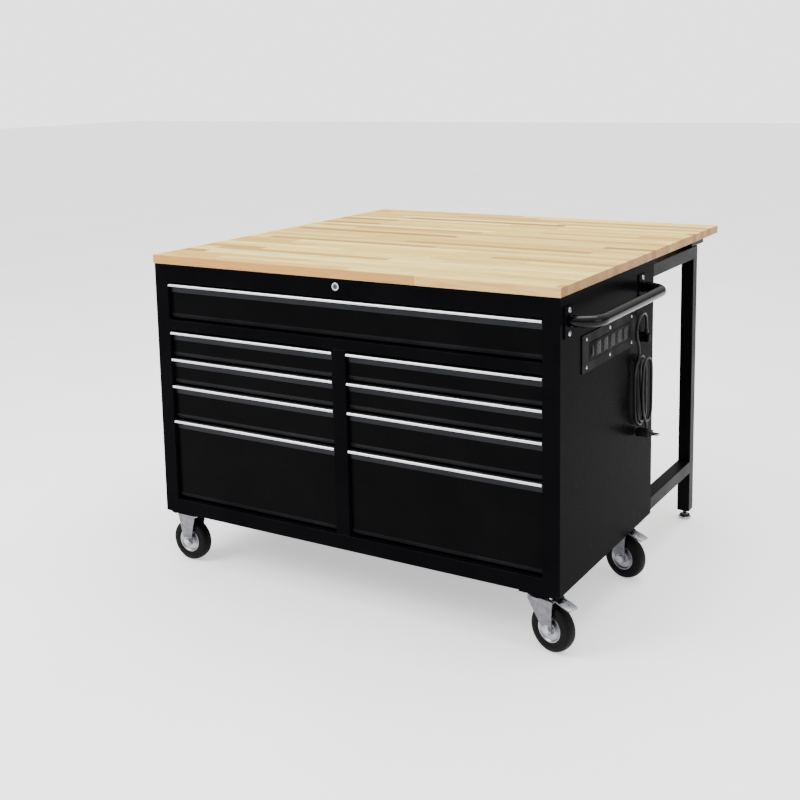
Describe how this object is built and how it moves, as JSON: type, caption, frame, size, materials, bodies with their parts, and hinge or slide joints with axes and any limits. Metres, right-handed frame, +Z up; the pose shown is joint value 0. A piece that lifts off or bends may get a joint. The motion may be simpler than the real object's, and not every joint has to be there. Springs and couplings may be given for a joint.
{
  "type": "mobile workbench with drawers",
  "caption": "Mobile steel workbench with drawers, a hardwood top, a fold-over leaf on a pull-out rear frame, casters, a side handle and a corded power strip.",
  "frame": {"origin": "bottom centre of the bounding box of the object without its free cord, on the floor", "axes": "+X to the right as one faces the drawers, +Y from the drawers to the leaf, +Z up"},
  "size_m": [1.405, 1.303, 0.955],
  "materials": {
    "black_steel": "gloss black powder coat",
    "black_gloss_steel": "gloss black",
    "hardwood": "clear satin varnish on butcher block",
    "zinc_steel": "zinc plated",
    "chrome_trim": "polished",
    "pull_aluminium": "satin anodised",
    "nylon": "matte",
    "foot_plastic": "matte",
    "handle_coat": "textured black",
    "black_plastic": "matte",
    "cord_rubber": "matte",
    "tyre_rubber": "matte",
    "hub_steel": "satin grey"
  },
  "bodies": {
    "case": {"side_panel_left": "black_steel", "side_panel_right": "black_steel", "front_frame": "black_steel", "drawer_walls": "black_steel", "back_panel": "black_steel", "bottom_panel": "black_steel", "drawer_shelf": "black_steel", "main_top": "hardwood", "hinge_halves_fixed": "zinc_steel", "drawer_slides": "zinc_steel", "lock_housing": "chrome_trim", "rail_guides": "nylon", "caster_plates": "zinc_steel", "rigid_forks": "zinc_steel", "side_handle": "handle_coat", "handle_brackets": "black_steel", "fasteners": "zinc_steel", "power_strip_plate": "black_steel", "power_strip": "black_plastic", "cord_inlet": "black_plastic", "cord_tube": "cord_rubber", "cord_hank": "cord_rubber", "mains_plug": "black_plastic"},
    "lock": {"lock_plug": "chrome_trim"},
    "frame": {"extension_frame": "black_steel"},
    "left_foot": {"foot_left": "foot_plastic"},
    "right_foot": {"foot_right": "foot_plastic"},
    "leaf": {"leaf": "hardwood", "leaf_battens": "black_steel", "hinge_halves_leaf": "zinc_steel"},
    "top_drawer": {"top_drawer": "black_gloss_steel", "top_drawer_pull": "pull_aluminium"},
    "left_drawer_1": {"left_drawer_1": "black_gloss_steel", "left_drawer_1_pull": "pull_aluminium"},
    "left_drawer_2": {"left_drawer_2": "black_gloss_steel", "left_drawer_2_pull": "pull_aluminium"},
    "left_drawer_3": {"left_drawer_3": "black_gloss_steel", "left_drawer_3_pull": "pull_aluminium"},
    "left_drawer_4": {"left_drawer_4": "black_gloss_steel", "left_drawer_4_pull": "pull_aluminium"},
    "right_drawer_1": {"right_drawer_1": "black_gloss_steel", "right_drawer_1_pull": "pull_aluminium"},
    "right_drawer_2": {"right_drawer_2": "black_gloss_steel", "right_drawer_2_pull": "pull_aluminium"},
    "right_drawer_3": {"right_drawer_3": "black_gloss_steel", "right_drawer_3_pull": "pull_aluminium"},
    "right_drawer_4": {"right_drawer_4": "black_gloss_steel", "right_drawer_4_pull": "pull_aluminium"},
    "front_swivel": {"swivel_fork_front": "zinc_steel"},
    "front_brake": {"brake_pedal_front": "zinc_steel"},
    "front_left_wheel": {"tyre_front_left": "tyre_rubber", "hub_front_left": "hub_steel"},
    "front_right_wheel": {"tyre_front_right": "tyre_rubber", "hub_front_right": "hub_steel"},
    "rear_swivel": {"swivel_fork_rear": "zinc_steel"},
    "rear_brake": {"brake_pedal_rear": "zinc_steel"},
    "rear_left_wheel": {"tyre_rear_left": "tyre_rubber", "hub_rear_left": "hub_steel"},
    "rear_right_wheel": {"tyre_rear_right": "tyre_rubber", "hub_rear_right": "hub_steel"}
  },
  "joints": [
    {"name": "top_drawer_slide", "type": "slide", "parent": "case", "child": "top_drawer", "axis": [0, -1, 0], "range_m": [0, 0.42]},
    {"name": "left_drawer_1_slide", "type": "slide", "parent": "case", "child": "left_drawer_1", "axis": [0, -1, 0], "range_m": [0, 0.42]},
    {"name": "left_drawer_2_slide", "type": "slide", "parent": "case", "child": "left_drawer_2", "axis": [0, -1, 0], "range_m": [0, 0.42]},
    {"name": "left_drawer_3_slide", "type": "slide", "parent": "case", "child": "left_drawer_3", "axis": [0, -1, 0], "range_m": [0, 0.42]},
    {"name": "left_drawer_4_slide", "type": "slide", "parent": "case", "child": "left_drawer_4", "axis": [0, -1, 0], "range_m": [0, 0.42]},
    {"name": "right_drawer_1_slide", "type": "slide", "parent": "case", "child": "right_drawer_1", "axis": [0, -1, 0], "range_m": [0, 0.42]},
    {"name": "right_drawer_2_slide", "type": "slide", "parent": "case", "child": "right_drawer_2", "axis": [0, -1, 0], "range_m": [0, 0.42]},
    {"name": "right_drawer_3_slide", "type": "slide", "parent": "case", "child": "right_drawer_3", "axis": [0, -1, 0], "range_m": [0, 0.42]},
    {"name": "right_drawer_4_slide", "type": "slide", "parent": "case", "child": "right_drawer_4", "axis": [0, -1, 0], "range_m": [0, 0.42]},
    {"name": "lock_turn", "type": "hinge", "parent": "case", "child": "lock", "pos_m": [-0.0445, -0.647, 0.908], "axis": [0, 1, 0], "range_deg": [0, 90]},
    {"name": "frame_slide", "type": "slide", "parent": "case", "child": "frame", "axis": [0, -1, 0], "range_m": [0, 0.365]},
    {"name": "left_foot_screw", "type": "slide", "parent": "frame", "child": "left_foot", "axis": [0, 0, 1], "range_m": [0, 0.012]},
    {"name": "right_foot_screw", "type": "slide", "parent": "frame", "child": "right_foot", "axis": [0, 0, 1], "range_m": [0, 0.012]},
    {"name": "leaf_fold", "type": "hinge", "parent": "case", "child": "leaf", "pos_m": [-0.0425, -0.0195, 0.9552], "axis": [1, 0, 0], "range_deg": [0, 180]},
    {"name": "front_swivel_turn", "type": "hinge", "parent": "case", "child": "front_swivel", "pos_m": [0.5475, -0.609, 0.143], "axis": [0, 0, 1], "continuous": true},
    {"name": "front_brake_press", "type": "hinge", "parent": "front_swivel", "child": "front_brake", "pos_m": [0.59097, -0.62065, 0.1375], "axis": [0.2588, 0.9659, 0], "range_deg": [0, 10]},
    {"name": "front_left_wheel_spin", "type": "hinge", "parent": "case", "child": "front_left_wheel", "pos_m": [-0.6325, -0.609, 0.0635], "axis": [0, 1, 0], "continuous": true},
    {"name": "front_right_wheel_spin", "type": "hinge", "parent": "front_swivel", "child": "front_right_wheel", "pos_m": [0.5842, -0.61884, 0.0635], "axis": [0.2588, 0.9659, 0], "continuous": true},
    {"name": "rear_swivel_turn", "type": "hinge", "parent": "case", "child": "rear_swivel", "pos_m": [0.5475, -0.09, 0.143], "axis": [0, 0, 1], "continuous": true},
    {"name": "rear_brake_press", "type": "hinge", "parent": "rear_swivel", "child": "rear_brake", "pos_m": [0.59097, -0.10165, 0.1375], "axis": [0.2588, 0.9659, 0], "range_deg": [0, 10]},
    {"name": "rear_left_wheel_spin", "type": "hinge", "parent": "case", "child": "rear_left_wheel", "pos_m": [-0.6325, -0.09, 0.0635], "axis": [0, 1, 0], "continuous": true},
    {"name": "rear_right_wheel_spin", "type": "hinge", "parent": "rear_swivel", "child": "rear_right_wheel", "pos_m": [0.5842, -0.09983, 0.0635], "axis": [0.2588, 0.9659, 0], "continuous": true}
  ]
}
